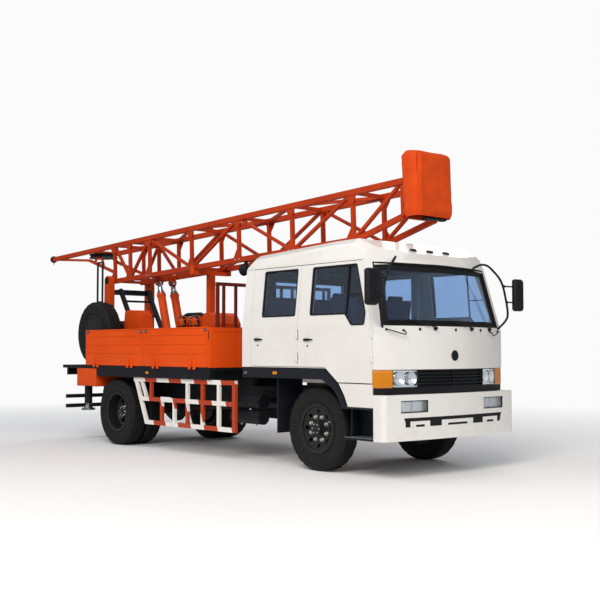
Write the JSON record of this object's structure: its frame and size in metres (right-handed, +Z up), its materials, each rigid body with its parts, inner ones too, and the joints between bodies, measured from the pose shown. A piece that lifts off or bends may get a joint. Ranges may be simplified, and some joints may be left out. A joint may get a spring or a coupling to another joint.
{
  "type": "mobile drilling rig",
  "caption": "Truck-mounted drilling rig: crew-cab truck with drop-side deck, hinged lattice mast raised by telescopic cylinders, hoist winch, mud pump and rear jacks.",
  "frame": {"origin": "on the ground under the middle of the overall box", "axes": "+X forward, +Y to the driver's left, +Z up"},
  "size_m": [9.6014, 2.86, 3.8861],
  "materials": {
    "cab_paint": "gloss warm white enamel",
    "orange_paint": "satin orange enamel",
    "mast_paint": "satin red-orange enamel",
    "guard_paint": "white with red-orange bands",
    "black_paint": "satin black enamel",
    "navy_plastic": "moulded navy-black plastic",
    "grille_plastic": "moulded black plastic",
    "tyre": "moulded rubber",
    "rim_paint": "satin black enamel",
    "cast_black": "black coated casting",
    "tank_metal": "dull metal",
    "bright_rod": "hard chrome",
    "steel_tube": "ground steel",
    "glass": "tinted safety glass",
    "lamp": "clear lens over bright reflector",
    "canvas": "orange coated canvas",
    "seat_cloth": "navy seat cloth",
    "dash_plastic": "grained dark plastic",
    "mirror_black": "black plastic shell"
  },
  "bodies": {
    "truck": {"chassis_frame": "black_paint", "front_axle": "cast_black", "rear_axle": "cast_black", "engine": "cast_black", "tanks": "tank_metal", "deck": "black_paint", "headboard": "orange_paint", "side_guards": "guard_paint", "jack_housings": "orange_paint", "spare_wheel": "tyre", "mast_supports": "orange_paint", "raking_legs": "black_paint", "winch_frame": "orange_paint", "mud_pump": "orange_paint", "cab_shell": "cab_paint", "cab_roof": "cab_paint", "cab_front": "cab_paint", "cab_glass": "glass", "grille": "grille_plastic", "lamps": "lamp", "bumper": "cab_paint", "wings": "navy_plastic", "mirrors": "mirror_black", "dashboard": "dash_plastic", "seats": "seat_cloth"},
    "front_right_wheel": {"front_right_tyre": "tyre", "front_right_rim": "rim_paint"},
    "front_left_wheel": {"front_left_tyre": "tyre", "front_left_rim": "rim_paint"},
    "rear_right_wheels": {"rear_right_tyres": "tyre", "rear_right_rims": "rim_paint"},
    "rear_left_wheels": {"rear_left_tyres": "tyre", "rear_left_rims": "rim_paint"},
    "right_knuckle": {"right_knuckle": "cast_black"},
    "left_knuckle": {"left_knuckle": "cast_black"},
    "steering_wheel": {"steering_wheel": "dash_plastic"},
    "right_front_door": {"right_front_door": "cab_paint", "right_front_glass": "glass"},
    "right_rear_door": {"right_rear_door": "cab_paint", "right_rear_glass": "glass"},
    "left_front_door": {"left_front_door": "cab_paint", "left_front_glass": "glass"},
    "left_rear_door": {"left_rear_door": "cab_paint", "left_rear_glass": "glass"},
    "right_front_board": {"right_front_board": "orange_paint"},
    "right_rear_board": {"right_rear_board": "orange_paint"},
    "left_front_board": {"left_front_board": "orange_paint"},
    "left_rear_board": {"left_rear_board": "orange_paint"},
    "mast": {"mast": "mast_paint", "mast_fittings": "black_paint", "crown_cover": "canvas"},
    "lift_barrels": {"lift_barrels": "orange_paint"},
    "lift_stages": {"lift_stages": "steel_tube"},
    "lift_rods": {"lift_rods": "bright_rod"},
    "winch_drum": {"winch_drum": "black_paint"},
    "right_jack_leg": {"right_jack_leg": "steel_tube"},
    "left_jack_leg": {"left_jack_leg": "steel_tube"}
  },
  "joints": [
    {"name": "steer_right", "type": "hinge", "parent": "truck", "child": "right_knuckle", "pos_m": [3.47075, -0.8, 0.509], "axis": [0, 0, 1], "range_deg": [-35, 35]},
    {"name": "front_right_wheel_spin", "type": "hinge", "parent": "right_knuckle", "child": "front_right_wheel", "pos_m": [3.47075, -0.93, 0.509], "axis": [0, 1, 0], "continuous": true},
    {"name": "rear_right_wheels_spin", "type": "hinge", "parent": "truck", "child": "rear_right_wheels", "pos_m": [-1.02925, -0.855, 0.509], "axis": [0, 1, 0], "continuous": true},
    {"name": "right_front_door_hinge", "type": "hinge", "parent": "truck", "child": "right_front_door", "pos_m": [4.53075, -1.17, 1.5], "axis": [0, 0, 1], "range_deg": [0, 70]},
    {"name": "right_rear_door_hinge", "type": "hinge", "parent": "truck", "child": "right_rear_door", "pos_m": [3.25575, -1.17, 1.5], "axis": [0, 0, 1], "range_deg": [0, 70]},
    {"name": "right_front_board_drop", "type": "hinge", "parent": "truck", "child": "right_front_board", "pos_m": [0.63075, -1.196, 1.197], "axis": [1, 0, 0], "range_deg": [0, 180]},
    {"name": "right_rear_board_drop", "type": "hinge", "parent": "truck", "child": "right_rear_board", "pos_m": [-1.02925, -1.196, 1.197], "axis": [1, 0, 0], "range_deg": [0, 180]},
    {"name": "right_jack_extend", "type": "slide", "parent": "truck", "child": "right_jack_leg", "axis": [0, 0, -1], "range_m": [0, 0.485]},
    {"name": "steer_left", "type": "hinge", "parent": "truck", "child": "left_knuckle", "pos_m": [3.47075, 0.8, 0.509], "axis": [0, 0, 1], "range_deg": [-35, 35]},
    {"name": "front_left_wheel_spin", "type": "hinge", "parent": "left_knuckle", "child": "front_left_wheel", "pos_m": [3.47075, 0.93, 0.509], "axis": [0, 1, 0], "continuous": true},
    {"name": "rear_left_wheels_spin", "type": "hinge", "parent": "truck", "child": "rear_left_wheels", "pos_m": [-1.02925, 0.855, 0.509], "axis": [0, 1, 0], "continuous": true},
    {"name": "left_front_door_hinge", "type": "hinge", "parent": "truck", "child": "left_front_door", "pos_m": [4.53075, 1.17, 1.5], "axis": [0, 0, -1], "range_deg": [0, 70]},
    {"name": "left_rear_door_hinge", "type": "hinge", "parent": "truck", "child": "left_rear_door", "pos_m": [3.25575, 1.17, 1.5], "axis": [0, 0, -1], "range_deg": [0, 70]},
    {"name": "left_front_board_drop", "type": "hinge", "parent": "truck", "child": "left_front_board", "pos_m": [0.63075, 1.196, 1.197], "axis": [-1, 0, 0], "range_deg": [0, 180]},
    {"name": "left_rear_board_drop", "type": "hinge", "parent": "truck", "child": "left_rear_board", "pos_m": [-1.02925, 1.196, 1.197], "axis": [-1, 0, 0], "range_deg": [0, 180]},
    {"name": "left_jack_extend", "type": "slide", "parent": "truck", "child": "left_jack_leg", "axis": [0, 0, -1], "range_m": [0, 0.485]},
    {"name": "steering_wheel_turn", "type": "hinge", "parent": "truck", "child": "steering_wheel", "pos_m": [4.11075, 0.48, 1.66], "axis": [-0.6157, 0, 0.788], "range_deg": [-600, 600]},
    {"name": "mast_raise", "type": "hinge", "parent": "truck", "child": "mast", "pos_m": [-2.48425, 0, 2.638], "axis": [0, -1, 0], "range_deg": [0, 87.85]},
    {"name": "lift_barrel_swing", "type": "hinge", "parent": "truck", "child": "lift_barrels", "pos_m": [-0.99425, 0, 1.355], "axis": [0, -1, 0], "range_deg": [0, 12.8]},
    {"name": "lift_stage_extend", "type": "slide", "parent": "lift_barrels", "child": "lift_stages", "axis": [-0.2908, 0, 0.9568], "range_m": [0, 0.7538]},
    {"name": "lift_rod_extend", "type": "slide", "parent": "lift_stages", "child": "lift_rods", "axis": [-0.2908, 0, 0.9568], "range_m": [0, 0.7538]},
    {"name": "winch_drum_spin", "type": "hinge", "parent": "truck", "child": "winch_drum", "pos_m": [-1.79925, -0.565, 1.785], "axis": [0, 1, 0], "continuous": true}
  ],
  "couplings": [
    {"joint": "steer_left", "follows": "steer_right", "ratio": 1},
    {"joint": "steering_wheel_turn", "follows": "steer_right", "ratio": 17},
    {"joint": "lift_barrel_swing", "follows": "mast_raise", "ratio": 0.1455},
    {"joint": "lift_stage_extend", "follows": "mast_raise", "m_per_rad": 0.49129},
    {"joint": "lift_rod_extend", "follows": "mast_raise", "m_per_rad": 0.49129}
  ]
}
